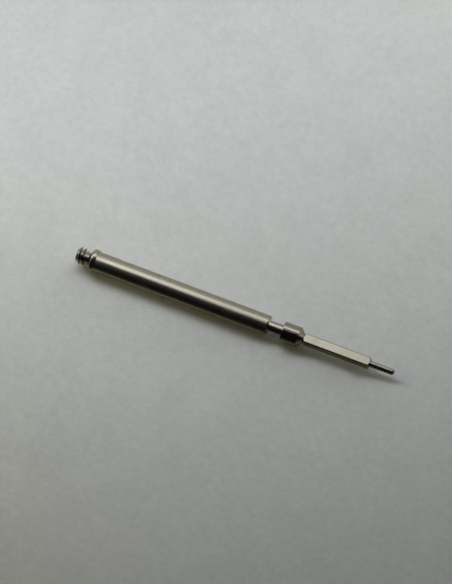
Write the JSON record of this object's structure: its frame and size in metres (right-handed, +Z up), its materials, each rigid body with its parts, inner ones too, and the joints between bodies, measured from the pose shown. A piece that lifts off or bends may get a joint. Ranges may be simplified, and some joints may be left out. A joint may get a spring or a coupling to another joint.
{
  "type": "watch stem",
  "caption": "Slim turned steel winding stem for a watch: threaded crown end with a collar, plain shank, lever groove, pinion seat, square and pilot.",
  "frame": {"origin": "on the turning axis, at the shoulder of the pinion seat that faces the lever groove", "axes": "+X along the stem from the crown thread towards the pilot; +Z up, square to one flat of the square"},
  "size_m": [0.0176, 0.0012, 0.0012],
  "materials": {
    "satin_steel": "satin, lengthwise and turning marks",
    "turned_steel": "fine turned",
    "worn_steel": "fine turned, dulled by the pinion that runs on it",
    "polished_steel": "polished flats",
    "burnished_steel": "burnished",
    "cut_thread_steel": "cut thread, slightly oily"
  },
  "bodies": {
    "root": {"crown_thread": "cut_thread_steel", "thread_relief": "turned_steel", "crown_collar": "turned_steel", "shank": "satin_steel", "lever_groove": "turned_steel", "pinion_seat": "worn_steel", "clutch_square": "polished_steel", "pilot": "burnished_steel"}
  },
  "joints": []
}
